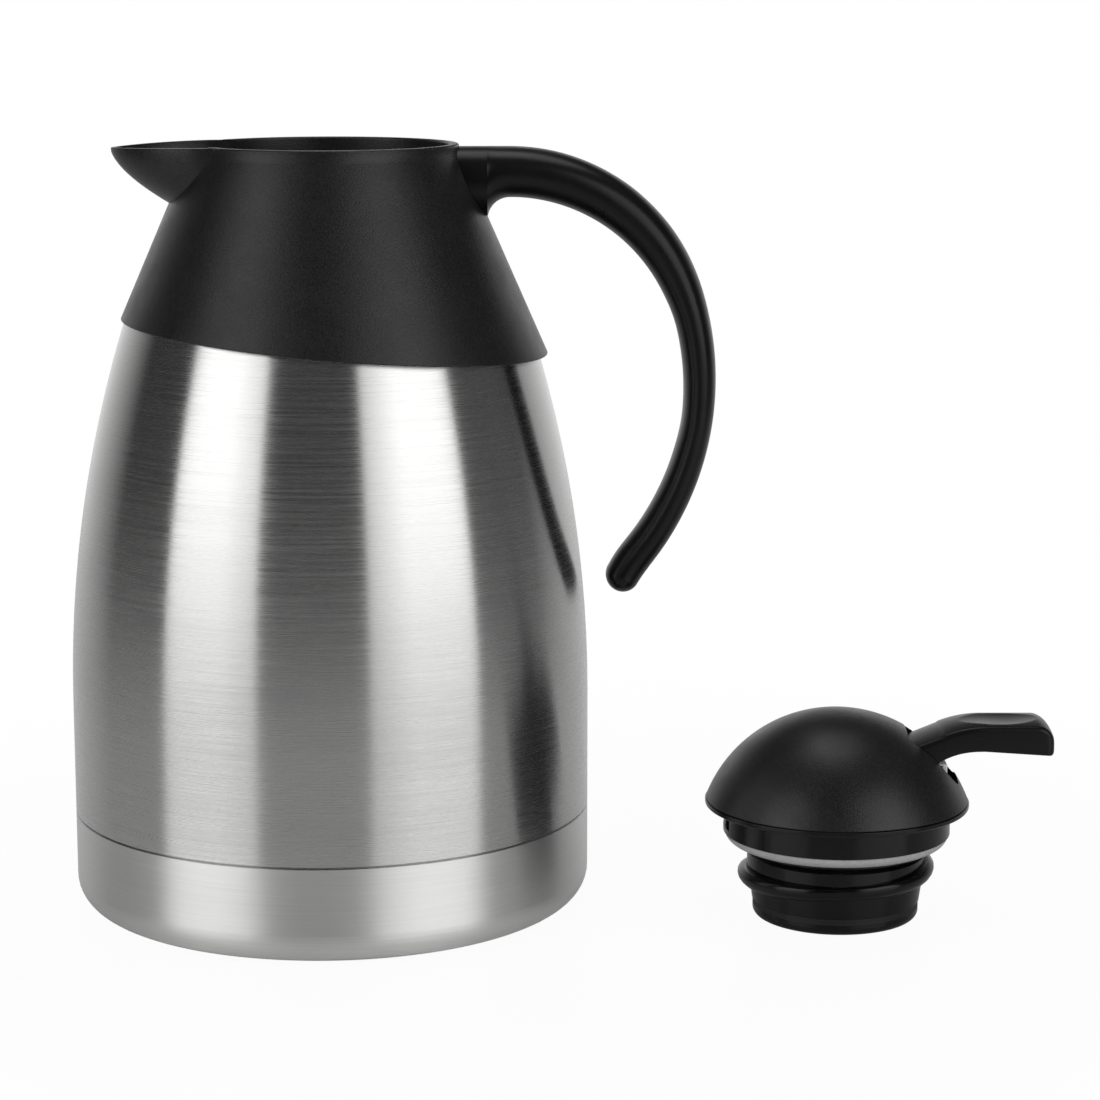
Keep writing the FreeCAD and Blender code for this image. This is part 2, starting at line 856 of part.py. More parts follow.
def make_lever_carrier():
    tongue_top = plate_top + lever_shank_under
    arm_under = cap_top + nose_gap + carrier_tongue_depth
    arm_top = arm_under + carrier_arm_depth
    hook = tongue_top - carrier_hook_drop
    outline = [
        at(lever_pivot_x, pivot_height + carrier_eye_radius),
        at(lever_pivot_x + 2 * carrier_eye_radius, arm_top),
        at(lever_inner_end - side_gap, arm_top),
        at(lever_inner_end - side_gap, tongue_top),
        at(carrier_end, tongue_top),
        at(carrier_end, hook),
        at(carrier_hook_start, hook),
        at(carrier_hook_start, tongue_top - carrier_tongue_depth),
        at(nose_radius, arm_under),
        at(lever_pivot_x + 3 * carrier_eye_radius, arm_under),
        at(lever_pivot_x, pivot_height - carrier_eye_radius),
    ]
    arm = extruded(closed_edges(outline, [0] * len(outline)), carrier_width)
    arm = arm.fuse(across_rod(pivot_point(), carrier_eye_radius, carrier_width))
    nose_middle = at(0, cap_top + nose_gap + nose_radius)
    nose = across_rod(nose_middle, nose_radius, carrier_width)
    nose = nose.common(block(-nose_radius, nose_radius, carrier_width, cap_top, arm_top))
    arm = arm.fuse(nose).fuse(carrier_rib(0))
    pin_hole = across_rod(pivot_point(), pin_radius + running_gap, carrier_width + overrun)
    return arm.cut(pin_hole).removeSplitter()


# Valve
def make_valve_disc():
    hub_top = disc_height + disc_hub_height
    outline = [
        at(screw_shank_radius + weld_gap, disc_recess + screw_head_height),
        at(screw_head_radius + weld_gap, disc_recess + screw_head_height),
        at(screw_head_radius + weld_gap, disc_recess),
        at(disc_recess_radius, disc_recess),
        at(disc_recess_radius, 0),
        at(disc_radius, 0),
        at(disc_radius, disc_height),
        at(disc_hub_radius, disc_height),
        at(disc_hub_radius, hub_top),
        at(stem_radius + weld_gap, hub_top),
        at(stem_radius + weld_gap, disc_height),
        at(screw_shank_radius + weld_gap, disc_height),
    ]
    radii = [0] * 5 + [disc_edge] + [0] * 6
    return turned(closed_edges(outline, radii))


def make_valve_gasket():
    inside = disc_radius - valve_gasket_width
    return ring(inside, disc_radius, disc_height, disc_height + valve_gasket_height)


def make_valve_stem():
    stem = rod(stem_radius, disc_height, cap_top - cap_socket_wall)
    return stem.cut(rod(screw_shank_radius, disc_height, disc_height + screw_shank_length))


def make_valve_screw():
    under = disc_recess + screw_head_height
    shank = rod(screw_shank_radius, under, disc_height + screw_shank_length)
    return rod(screw_head_radius, disc_recess, under).fuse(shank).removeSplitter()


def make_stem_cap():
    outline = [
        at(stem_radius + weld_gap, cap_under),
        at(cap_radius, cap_under),
        at(cap_radius, cap_top),
        at(0, cap_top),
        at(0, cap_top - cap_socket_wall),
        at(stem_radius + weld_gap, cap_top - cap_socket_wall),
    ]
    return turned(closed_edges(outline, [0, cap_edge, cap_edge, 0, 0, 0]))


# Valve spring, wound as one wire
def helix_point(angle, rise):
    return Vector(spring_radius * math.cos(angle), spring_radius * math.sin(angle), rise)


def biarc(start, start_along, end, end_along):
    # Two tangent arcs between two points with given directions
    chord = end - start
    both = start_along + end_along
    spread = 2 * (1 - start_along.dot(end_along))
    lead = chord.dot(both)
    reach = (math.sqrt(lead ** 2 + spread * chord.dot(chord)) - lead) / spread
    first = start + start_along * reach
    second = end - end_along * reach
    joint = (first + second) * 0.5
    return [tangent_arc(start, first, joint), tangent_arc(joint, second, end)]


def tangent_arc(start, corner, end):
    half_chord = (end - start).Length / 2
    middle = (start + end) * 0.5
    turn = math.acos(half_chord / (corner - start).Length)
    bulge = (corner - middle).normalize() * (half_chord * math.tan(turn / 2))
    return Part.Arc(start, middle + bulge, end).toShape()


def make_valve_spring():
    low = plate_top + spring_wire / 2
    climb = (spring_height - spring_wire) / (spring_turns * 2 * math.pi)
    quarters = round(spring_turns * 4)
    edges = []
    for i in range(quarters):
        ends = []
        for step in (i, i + 1):
            angle = math.radians(quarter_turn) * step
            along = Vector(-math.sin(angle) * spring_radius, math.cos(angle) * spring_radius, climb)
            ends.append((helix_point(angle, low + climb * angle), along.normalize()))
        edges += biarc(*ends[0], *ends[1])
    wire = Part.Wire(edges)
    print("valve spring least gap to itself, mm:", round(least_wire_gap(wire.discretize(wire_points)), 3))
    along = edges[0].tangentAt(edges[0].FirstParameter)
    section = Part.Circle(helix_point(0, low), along, spring_wire / 2).toShape()
    return wire.makePipeShell([Part.Wire([section])], True, False)


def least_wire_gap(centres):
    # Between points of the wire that are at least half a turn apart along it
    apart = round(len(centres) / spring_turns / 2)
    return min((first - second).Length - spring_wire
               for i, first in enumerate(centres) for second in centres[i + apart:])


def build():
    spigot_pocket = make_handle_spigot(weld_gap)
    jug = {
        "outer_shell": make_outer_shell(),
        "base_cup": make_base_cup(),
        "vacuum_bottom": make_vacuum_bottom(),
        "vacuum_seal": make_vacuum_seal(),
        "getter_capsule": make_getter(),
        "inner_vessel": make_inner_vessel(),
        "collar": make_collar(spigot_pocket),
        "handle": make_handle(make_handle_spigot(0)),
        "neck_ring": make_neck_ring(),
        "neck_gasket": make_neck_gasket(),
    }
    lid = {
        "lid_dome": make_dome(),
        "stopper_body": make_stopper_body(),
        "stopper_seal": make_stopper_seal(),
        "stem_seal": make_stem_seal(),
        "lever_pin": make_lever_pin(),
        "valve_spring": make_valve_spring(),
        "thumb_lever": make_thumb_lever(),
        "lever_carrier": make_lever_carrier(),
        "valve_disc": make_valve_disc(),
        "valve_gasket": make_valve_gasket(),
        "valve_stem": make_valve_stem(),
        "valve_screw": make_valve_screw(),
        "stem_cap": make_stem_cap(),
    }
    for solid in lid.values():
        solid.translate(lid_place)
    return {**jug, **lid}


os.makedirs("parts", exist_ok=True)
for name, solid in build().items():
    solid.exportStep(f"parts/{name}.step")
    box = solid.BoundBox
    print(name, "valid" if solid.isValid() else "INVALID", len(solid.Solids), "solid",
          round(solid.Volume / 1000, 2), "cm3",
          f"x {box.XMin:.1f}..{box.XMax:.1f}", f"y {box.YMin:.1f}..{box.YMax:.1f}",
          f"z {box.ZMin:.1f}..{box.ZMax:.1f}")
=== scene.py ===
import bmesh
import bpy
import json
import math
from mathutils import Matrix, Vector


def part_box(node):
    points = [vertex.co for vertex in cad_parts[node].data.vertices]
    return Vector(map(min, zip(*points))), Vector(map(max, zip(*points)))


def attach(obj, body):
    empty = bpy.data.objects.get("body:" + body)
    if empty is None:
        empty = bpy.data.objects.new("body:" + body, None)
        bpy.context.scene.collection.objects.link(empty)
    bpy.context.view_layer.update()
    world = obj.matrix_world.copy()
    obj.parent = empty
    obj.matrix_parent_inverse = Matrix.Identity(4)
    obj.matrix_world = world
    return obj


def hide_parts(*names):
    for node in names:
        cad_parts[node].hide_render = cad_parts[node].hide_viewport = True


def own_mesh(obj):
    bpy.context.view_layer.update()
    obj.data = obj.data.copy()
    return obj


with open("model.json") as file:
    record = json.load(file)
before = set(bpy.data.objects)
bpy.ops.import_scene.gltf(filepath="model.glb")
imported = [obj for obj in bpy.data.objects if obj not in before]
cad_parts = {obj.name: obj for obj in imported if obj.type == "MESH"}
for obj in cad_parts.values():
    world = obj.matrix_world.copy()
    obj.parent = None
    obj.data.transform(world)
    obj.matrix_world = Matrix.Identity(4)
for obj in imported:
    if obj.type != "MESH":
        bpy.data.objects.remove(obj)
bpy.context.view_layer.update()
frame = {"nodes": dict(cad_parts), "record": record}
nodes = frame["nodes"]
mm = 0.001
sharpAngle = math.radians(35)       # edges sharper than this stay crisp under smooth shading
white = "#FFFFFF"

discLow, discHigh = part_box("valve_disc")
lidAxis = (discLow + discHigh) / 2      # the stopper stands upright on its valve disc
lidAxis.z = 0


# sRGB hex to the linear values that a shader takes
def linear(hexColour):
    shares = [int(hexColour[i:i + 2], 16) / 255 for i in (1, 3, 5)]
    return [s / 12.92 if s <= 0.04045 else ((s + 0.055) / 1.055) ** 2.4 for s in shares] + [1]


# one node with its settings, and its inputs linked or set
def addNode(tree, kind, settings=None, inputs=None):
    made = tree.nodes.new("ShaderNode" + kind)
    for key, value in (settings or {}).items():
        setattr(made, key, value)
    for key, value in (inputs or {}).items():
        if isinstance(value, bpy.types.NodeSocket):
            tree.links.new(value, made.inputs[key])
        else:
            made.inputs[key].default_value = value
    return made


def startMaterial(name):
    material = bpy.data.materials.new(name)
    material.use_nodes = True
    material.node_tree.nodes.clear()
    return material, material.node_tree


# noise on the object's own millimetres: grain gives the size of one blotch on each axis
def grainNoise(tree, grain, detail, roughness):
    place = addNode(tree, "TexCoord")
    scaled = addNode(tree, "Mapping", {"vector_type": "POINT"}, {
        "Vector": place.outputs["Object"],
        "Scale": [1 / (size * mm) for size in grain],
    })
    return addNode(tree, "TexNoise", {"noise_dimensions": "3D"}, {
        "Vector": scaled.outputs["Vector"], "Scale": 1, "Detail": detail, "Roughness": roughness,
    }).outputs["Fac"]


def spread(tree, value, low, high, fromLow=0.3, fromHigh=0.7):
    return addNode(tree, "MapRange", {"clamp": True}, {
        "Value": value, "From Min": fromLow, "From Max": fromHigh, "To Min": low, "To Max": high,
    }).outputs["Result"]


def tinted(tree, factor, first, second):
    mix = addNode(tree, "Mix", {"data_type": "RGBA"}, {0: factor, 6: linear(first), 7: linear(second)})
    return mix.outputs[2]


# 304 stainless, brushed on a lathe: lines run round the barrel and smear each light up and down
brushed = {
    "barrel": {"bright": "#D2D2D1", "dull": "#C3C3C2", "roughness": 0.26, "anisotropy": 0.97},
    "cup": {"bright": "#ECECEB", "dull": "#DEDEDD", "roughness": 0.40, "anisotropy": 0.85},
    "lineSpacing": 0.30,            # mm; the grit left lines near 0.1 mm, drawn coarser so that they show
    "lineLength": 38,               # mm along the brushing
    "lineHeight": 0.006,            # mm
    "lineNoise": (3, 0.65),         # detail and roughness
    "lineStrength": 0.11,
    "smearTurn": 0.25,              # of a turn, from along the lines to across them
    "blotch": 14,                   # mm, uneven pressure of the belt
    "blotchStretch": 4,             # times as long along the brushing
    "blotchNoise": (2, 0.5),
    "blotchShare": 0.35,
    "tintRange": (0.4, 0.95),       # of lines and blotches added, from dull to bright
    "roughnessSpread": 0.05,
}


def brushedStainless(name, piece):
    look = brushed[piece]
    material, tree = startMaterial(name)
    lineLength = brushed["lineLength"]
    blotchLength = brushed["blotch"] * brushed["blotchStretch"]
    lines = grainNoise(tree, (lineLength, lineLength, brushed["lineSpacing"]), *brushed["lineNoise"])
    blotches = grainNoise(tree, (blotchLength, blotchLength, brushed["blotch"]), *brushed["blotchNoise"])
    both = addNode(tree, "Math", {"operation": "MULTIPLY_ADD"}, {
        0: blotches, 1: brushed["blotchShare"], 2: lines,
    })
    tint = spread(tree, both.outputs[0], 0, 1, *brushed["tintRange"])
    bump = addNode(tree, "Bump", {}, {
        "Height": lines, "Strength": brushed["lineStrength"], "Distance": brushed["lineHeight"] * mm,
    })
    roundAxis = addNode(tree, "Tangent", {"direction_type": "RADIAL", "axis": "Z"})
    rougher = brushed["roughnessSpread"]
    surface = addNode(tree, "BsdfPrincipled", {}, {
        "Base Color": tinted(tree, tint, look["dull"], look["bright"]),
        "Metallic": 1,
        "Roughness": spread(tree, lines, look["roughness"] - rougher, look["roughness"] + rougher),
        "Anisotropic": look["anisotropy"], "Anisotropic Rotation": brushed["smearTurn"],
        "Tangent": roundAxis.outputs["Tangent"], "Normal": bump.outputs["Normal"],
    })
    addNode(tree, "OutputMaterial", {}, {"Surface": surface.outputs["BSDF"]})
    return material


# 304 stainless as drawn and tumbled: a soft, even shine with faint marks
drawn = {
    "bright": "#C9C9C8", "dull": "#B9B9B8", "roughness": (0.28, 0.38),
    "mark": 3.0,                    # mm
    "markNoise": (4, 0.6),
}


def drawnStainless(name):
    material, tree = startMaterial(name)
    marks = grainNoise(tree, [drawn["mark"]] * 3, *drawn["markNoise"])
    surface = addNode(tree, "BsdfPrincipled", {}, {
        "Base Color": tinted(tree, spread(tree, marks, 0, 1), drawn["dull"], drawn["bright"]),
        "Metallic": 1, "Roughness": spread(tree, marks, *drawn["roughness"]),
    })
    addNode(tree, "OutputMaterial", {}, {"Surface": surface.outputs["BSDF"]})
    return material


# black plastics: the colour lies in the melt, the mould's finish sets grain and shine
# grain, grainHeight and cloud in mm; the spark grain is too fine to show, so it is drawn coarser
plastics = {
    "ior": 1.49, "noise": (2, 0.5),
    # polypropylene from a spark-eroded mould: matt, with a fine even grain that glints
    "spark": {"dark": "#060607", "pale": "#242425", "grain": 0.32, "grainHeight": 0.065,
              "strength": 1.0, "roughness": (0.28, 0.36), "cloud": 9.0, "specular": 0.36},
    # the same plastic from a finely blasted mould: smooth satin, rubbed by hands
    "satin": {"dark": "#0A0A0B", "pale": "#0F0F10", "grain": 0.45, "grainHeight": 0.012,
              "strength": 0.35, "roughness": (0.26, 0.34), "cloud": 12.0, "specular": 0.25},
    # from a polished mould: glossy, with faint flow marks
    "gloss": {"dark": "#060607", "pale": "#0A0A0B", "grain": 2.5, "grainHeight": 0.010,
              "strength": 0.15, "roughness": (0.14, 0.22), "cloud": 6.0, "specular": 0.28},
}


def mouldedPlastic(name, finish):
    look = plastics[finish]
    material, tree = startMaterial(name)
    grain = grainNoise(tree, [look["grain"]] * 3, *plastics["noise"])
    clouds = grainNoise(tree, [look["cloud"]] * 3, *plastics["noise"])
    bump = addNode(tree, "Bump", {}, {
        "Height": grain, "Strength": look["strength"], "Distance": look["grainHeight"] * mm,
    })
    surface = addNode(tree, "BsdfPrincipled", {}, {
        "Base Color": tinted(tree, spread(tree, grain, 0, 1), look["dark"], look["pale"]),
        "IOR": plastics["ior"], "Specular IOR Level": look["specular"],
        "Roughness": spread(tree, clouds, *look["roughness"]), "Normal": bump.outputs["Normal"],
    })
    addNode(tree, "OutputMaterial", {}, {"Surface": surface.outputs["BSDF"]})
    return material


# moulded silicone and uncoloured acetal: even and matt, with a faint cloudiness; grain in mm
softLooks = {
    "noise": (3, 0.5), "roughnessSpread": 0.05,
    "silicone": {"dark": "#A6A6A6", "pale": "#B4B4B4", "grain": 1.2, "ior": 1.41, "roughness": 0.55},
    "blackSilicone": {"dark": "#101010", "pale": "#181818", "grain": 1.2, "ior": 1.41, "roughness": 0.5},
    "acetal": {"dark": "#CFCDC6", "pale": "#DFDDD7", "grain": 2.0, "ior": 1.48, "roughness": 0.38},
}


def softMoulding(name, kind):
    look = softLooks[kind]
    material, tree = startMaterial(name)
    grain = grainNoise(tree, [look["grain"]] * 3, *softLooks["noise"])
    rougher = softLooks["roughnessSpread"]
    surface = addNode(tree, "BsdfPrincipled", {}, {
        "Base Color": tinted(tree, spread(tree, grain, 0, 1), look["dark"], look["pale"]),
        "IOR": look["ior"],
        "Roughness": spread(tree, grain, look["roughness"] - rougher, look["roughness"] + rougher),
    })
    addNode(tree, "OutputMaterial", {}, {"Surface": surface.outputs["BSDF"]})
    return material


finishes = {
    "brushed_barrel": brushedStainless("brushed stainless barrel", "barrel"),
    "brushed_cup": brushedStainless("brushed stainless cup", "cup"),
    "drawn_steel": drawnStainless("drawn stainless"),
    "spark_black": mouldedPlastic("spark-grained black polypropylene", "spark"),
    "satin_black": mouldedPlastic("satin black polypropylene", "satin"),
    "lever_black": mouldedPlastic("satin black lever polypropylene", "satin"),
    "gloss_black": mouldedPlastic("gloss black polypropylene", "gloss"),
    "grey_silicone": softMoulding("grey silicone", "silicone"),
    "black_silicone": softMoulding("black silicone", "blackSilicone"),
    "natural_white": softMoulding("natural acetal", "acetal"),
}
for entry in frame["record"]["subparts"]:
    node = nodes[entry["node"]]
    node.data.materials.clear()
    node.data.materials.append(finishes[entry["material_slot"]])
print("materials:", len(finishes))


# skin over a row of rings, with both ends closed
def closeTube(mesh, rings):
    count = len(rings[0])
    for first, second in zip(rings, rings[1:]):
        for k in range(count):
            mesh.faces.new((first[k], first[(k + 1) % count], second[(k + 1) % count], second[k]))
    mesh.faces.new(rings[0][::-1])
    mesh.faces.new(rings[-1])
    bmesh.ops.recalc_face_normals(mesh, faces=mesh.faces)
    for face in mesh.faces:
        face.smooth = len(face.verts) == 4


def addPiece(name, mesh, body, slot):
    data = bpy.data.meshes.new(name)
    mesh.to_mesh(data)
    mesh.free()
    data.materials.append(finishes[slot])
    piece = bpy.data.objects.new(name, data)
    bpy.context.scene.collection.objects.link(piece)
    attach(piece, body)
    return piece


# a ridge wound round an upright axis, from its outline of (share of depth, height in mm)
def woundRidge(name, body, slot, look, axis):
    mesh = bmesh.new()
    steps = look["steps"]
    rings = []
    for i in range(steps + 1):
        share = i / steps
        turn = math.radians(look["from"] + (look["to"] - look["from"]) * share)
        fade = min(1, share / look["fade"], (1 - share) / look["fade"])
        fade = math.sin(fade * math.pi / 2)
        # shallow at the mould's parting
        fade *= look["parting"] + (1 - look["parting"]) * abs(math.cos(turn)) ** look["partingPower"]
        height = look["low"] + look["lead"] * (look["to"] - look["from"]) * share / 360
        tall = look["endHeight"] + (1 - look["endHeight"]) * fade
        ring = []
        for depth, rise in look["outline"]:
            radius = look["root"] + look["depth"] * (depth * fade if depth > 0 else depth)
            point = Vector((radius * math.cos(turn), radius * math.sin(turn), height + rise * tall))
            ring.append(mesh.verts.new(axis + point * mm))
        rings.append(ring)
    closeTube(mesh, rings)
    return addPiece(name, mesh, body, slot)


# the stopper's coarse screw ridge, right-handed, rising from the spout side to the lever side
plugThread = {
    "root": 23.8, "depth": 2.5, "low": 10.4, "lead": 5.0, "from": 122, "to": 424, "steps": 120,
    "fade": 0.07, "endHeight": 0.5, "parting": 0.28, "partingPower": 0.8,
    "outline": [(-0.2, -3.2), (0.30, -2.7), (0.66, -1.9), (0.90, -1.0), (1.0, -0.1), (0.98, 0.7),
                (0.86, 1.3), (0.55, 1.75), (-0.2, 2.1)],
}
woundRidge("stopper_thread", "lid", "gloss_black", plugThread, lidAxis)

# the matching ridge inside the mouth
neckThread = {
    "root": 26.6, "depth": -2.1, "low": 184.2, "lead": 5.0, "from": -60, "to": 250, "steps": 96,
    "fade": 0.07, "endHeight": 0.5, "parting": 1.0, "partingPower": 0.8,
    "outline": [(-0.2, -2.0), (0.55, -1.5), (0.90, -0.9), (1.0, -0.2), (1.0, 0.4), (0.85, 0.9),
                (0.50, 1.3), (-0.2, 1.8)],
}
woundRidge("neck_thread", "jug", "gloss_black", neckThread, Vector((0, 0, 0)))
print("threads done")

# the valve spring: drawn wire wound with one closed turn at each end, from the plate to the stem cap
valveSpring = {"radius": 6.2, "wire": 0.8, "low": 31.8, "high": 38.8, "turns": 5, "endPitch": 0.84,
               "stepsPerTurn": 32, "sides": 12, "pressed": 0.643}


def springHeight(turn, look):
    low, high = look["low"] + look["wire"] / 2, look["high"] - look["wire"] / 2
    pitch = (high - low - 2 * look["endPitch"]) / (look["turns"] - 2)
    if turn < 1:
        return low + turn * look["endPitch"]
    if turn > look["turns"] - 1:
        return high - (look["turns"] - turn) * look["endPitch"]
    return low + look["endPitch"] + (turn - 1) * pitch


def windSpring(name, look, axis):
    mesh = bmesh.new()
    steps = look["turns"] * look["stepsPerTurn"]
    rings = []
    for i in range(steps + 1):
        turn = i / look["stepsPerTurn"]
        angle = math.tau * turn
        outward = Vector((math.cos(angle), math.sin(angle), 0))
        middle = axis + (outward * look["radius"] + Vector((0, 0, springHeight(turn, look)))) * mm
        ring = []
        for k in range(look["sides"]):
            side = math.tau * k / look["sides"]
            offset = outward * math.cos(side) + Vector((0, 0, math.sin(side)))
            ring.append(mesh.verts.new(middle + offset * (look["wire"] / 2 * mm)))
        rings.append(ring)
    closeTube(mesh, rings)
    piece = addPiece(name, mesh, "lid", "drawn_steel")
    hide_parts("valve_spring")
    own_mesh(piece)


windSpring("wound_spring", valveSpring, lidAxis)
print("spring done")


# the thumb lever as moulded: a crowned top with a shallow dish, soft edges and an arched underside
thumbLever = {
    "innerEnd": 9.5, "reach": 56.8, "halfWidth": 9.0, "stations": 120, "acrossSteps": 40, "edgeSteps": 6,
    "innerTop": 44.3, "topSlope": 0.4085, "padTop": 54.1, "bendEnd": 38.9, "bendRadius": 30.0,
    "tipRound": 4.6, "tipCorner": 2.0, "shankUnder": 42.6, "archFrom": 24.8, "archTo": 38.5,
    "archUnder": 46.6, "archPower": 2.5, "tipUnder": 45.4, "tipUnderRound": 1.0,
    "crown": 0.9, "topEdge": 1.5, "underEdge": 0.8,
    "dishMiddle": 42.6, "dishHalfLength": 10.5, "dishHalfWidth": 6.4, "dishDepth": 0.9,
}


# how far a quarter round has fallen at a distance past its start
def roundedFall(distance, radius):
    return radius - math.sqrt(max(radius ** 2 - max(distance, 0) ** 2, 0))


def leverTop(x, look):
    bendStart = look["bendEnd"] - look["bendRadius"] * math.sin(math.atan(look["topSlope"]))
    if x < bendStart:
        return look["innerTop"] + (x - look["innerEnd"]) * look["topSlope"]
    bend = roundedFall(look["bendEnd"] - x, look["bendRadius"])
    return look["padTop"] - bend - roundedFall(x - look["reach"] + look["tipRound"], look["tipRound"])


def leverUnder(x, look):
    if x < look["archTo"]:
        share = min((look["archTo"] - x) / (look["archTo"] - look["archFrom"]), 1)
        return look["archUnder"] - (look["archUnder"] - look["shankUnder"]) * share ** look["archPower"]
    share = (x - look["archTo"]) / (look["reach"] - look["archTo"])
    low = look["archUnder"] + (look["tipUnder"] - look["archUnder"]) * share
    return low + roundedFall(x - look["reach"] + look["tipUnderRound"], look["tipUnderRound"])


# one section, from the middle of the underside round both sides, as (across, height)
def leverSection(x, look):
    top, under = leverTop(x, look), leverUnder(x, look)
    half = look["halfWidth"] - roundedFall(x - look["reach"] + look["tipCorner"], look["tipCorner"])
    side = []
    steps = look["edgeSteps"]
    for i in range(steps + 1):
        turn = math.pi / 2 * i / steps
        edge = look["underEdge"]
        side.append((half - edge + edge * math.sin(turn), under + edge - edge * math.cos(turn)))
    edge = min(look["topEdge"], (top - under - look["underEdge"]) / 2)
    shoulder = top - look["crown"] * ((half - edge) / look["halfWidth"]) ** 2
    for i in range(steps + 1):
        turn = math.pi / 2 * i / steps
        side.append((half - edge + edge * math.cos(turn), shoulder - edge + edge * math.sin(turn)))
    section = [(-across, height) for across, height in reversed(side)] + side
    for i in range(1, look["acrossSteps"]):
        across = (half - edge) * (1 - 2 * i / look["acrossSteps"])
        along = (x - look["dishMiddle"]) / look["dishHalfLength"]
        dish = max(1 - along ** 2 - (across / look["dishHalfWidth"]) ** 2, 0)
        height = top - look["crown"] * (across / look["halfWidth"]) ** 2
        section.append((across, height - look["dishDepth"] * dish))
    return section


def mouldLever(name, look, axis):
    mesh = bmesh.new()
    rings = []
    for i in range(look["stations"] + 1):
        share = math.sin(math.pi / 2 * i / look["stations"])      # closer together towards the rounded tip
        x = look["innerEnd"] + (look["reach"] - look["innerEnd"]) * share
        points = [Vector((x, across, height)) for across, height in leverSection(x, look)]
        rings.append([mesh.verts.new(axis + point * mm) for point in points])
    closeTube(mesh, rings)
    piece = addPiece(name, mesh, "lever", "lever_black")
    piece.data.set_sharp_from_angle(angle=sharpAngle)
    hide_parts("thumb_lever")


mouldLever("moulded_lever", thumbLever, lidAxis)

# the carrier's white end, which fills the slot under the lever
carrierEnd = {
    "from": 22.0, "to": 28.6, "width": 15.0, "low": 38.0, "high": 43.0, "edge": 0.4, "edgeSteps": 3,
}


def mouldCarrierEnd(name, look, axis):
    mesh = bmesh.new()
    bmesh.ops.create_cube(mesh, size=1)
    size = Vector((look["to"] - look["from"], look["width"], look["high"] - look["low"]))
    middle = Vector(((look["to"] + look["from"]) / 2, 0, (look["high"] + look["low"]) / 2))
    for corner in mesh.verts:
        corner.co = axis + (corner.co * size + middle) * mm
    bmesh.ops.bevel(mesh, geom=mesh.edges[:], offset=look["edge"] * mm, segments=look["edgeSteps"],
                    affect="EDGES", profile=0.5)
    addPiece(name, mesh, "lever", "natural_white")


mouldCarrierEnd("carrier_end", carrierEnd, lidAxis)

# the mould's parting line down the front of the plug
partingLine = {"radius": 23.9, "low": 12.6, "high": 19.4, "azimuth": -96.5, "width": 0.4, "depth": 0.2}


def mouldParting(name, look, axis):
    mesh = bmesh.new()
    bmesh.ops.create_cube(mesh, size=1)
    turn = math.radians(look["azimuth"])
    outward = Vector((math.cos(turn), math.sin(turn), 0))
    beside = Vector((-math.sin(turn), math.cos(turn), 0))
    for corner in mesh.verts:
        place = outward * (look["radius"] + corner.co.x * look["depth"])
        place += beside * (corner.co.y * look["width"])
        place.z = (look["low"] + look["high"]) / 2 + corner.co.z * (look["high"] - look["low"])
        corner.co = axis + place * mm
    addPiece(name, mesh, "lid", "gloss_black")


mouldParting("plug_parting", partingLine, lidAxis)

# the stopper's seal: a soft lip, upright under the flange and round below
sealLip = {"inside": 24.9, "foot": 26.5, "lip": 29.9, "low": 20.2, "high": 23.2, "steps": 10, "sides": 144}


def turnSealLip(name, look, axis):
    outline = [(look["inside"], look["high"])]
    for step in range(look["steps"] + 1):
        lean = math.pi / 2 * step / look["steps"]
        radius = look["foot"] + (look["lip"] - look["foot"]) * math.cos(lean)
        outline.append((radius, look["high"] - (look["high"] - look["low"]) * math.sin(lean)))
    outline.append((look["inside"], look["low"]))
    mesh = bmesh.new()
    rings = []
    for side in range(look["sides"]):
        turn = math.tau * side / look["sides"]
        outward = Vector((math.cos(turn), math.sin(turn), 0))
        points = [outward * radius + Vector((0, 0, height)) for radius, height in outline]
        rings.append([mesh.verts.new(axis + point * mm) for point in points])
    for side, ring in enumerate(rings):
        after = rings[(side + 1) % len(rings)]
        for point in range(len(outline)):
            mesh.faces.new((ring[point - 1], after[point - 1], after[point], ring[point])).smooth = True
    bmesh.ops.recalc_face_normals(mesh, faces=mesh.faces)
    piece = addPiece(name, mesh, "lid", "grey_silicone")
    piece.data.set_sharp_from_angle(angle=sharpAngle)
    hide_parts("stopper_seal")


turnSealLip("seal_lip", sealLip, lidAxis)
print("lever, carrier end, parting line and seal done")


# painted floor: its own white grows away from the object until it meets the white behind; in metres
floor = {
    "middle": (0.06, 0, 0), "radius": 0.9, "sides": 96,
    "colour": "#E0E0E0", "roughness": 0.2, "ior": 1.55,
    "nearWhite": 0.95, "fade": (0.1, 0.32),
}


def makeFloor():
    mesh = bmesh.new()
    bmesh.ops.create_circle(mesh, cap_ends=True, segments=floor["sides"], radius=floor["radius"])
    data = bpy.data.meshes.new("floor")
    mesh.to_mesh(data)
    mesh.free()
    material, tree = startMaterial("white studio floor")
    paint = addNode(tree, "BsdfPrincipled", {}, {
        "Base Color": linear(floor["colour"]), "Roughness": floor["roughness"], "IOR": floor["ior"],
    })
    glow = addNode(tree, "Emission", {}, {"Color": linear(white), "Strength": 1})
    ray = addNode(tree, "LightPath")
    place = addNode(tree, "TexCoord")
    away = addNode(tree, "VectorMath", {"operation": "LENGTH"}, {0: place.outputs["Object"]})
    paler = spread(tree, away.outputs["Value"], floor["nearWhite"], 1, *floor["fade"])
    share = addNode(tree, "Math", {"operation": "MULTIPLY"}, {0: ray.outputs["Is Camera Ray"], 1: paler})
    mix = addNode(tree, "MixShader", {}, {0: share.outputs[0], 1: paint.outputs[0], 2: glow.outputs[0]})
    addNode(tree, "OutputMaterial", {}, {"Surface": mix.outputs[0]})
    data.materials.append(material)
    piece = bpy.data.objects.new("floor", data)
    piece.location = floor["middle"]
    bpy.context.scene.collection.objects.link(piece)


makeFloor()

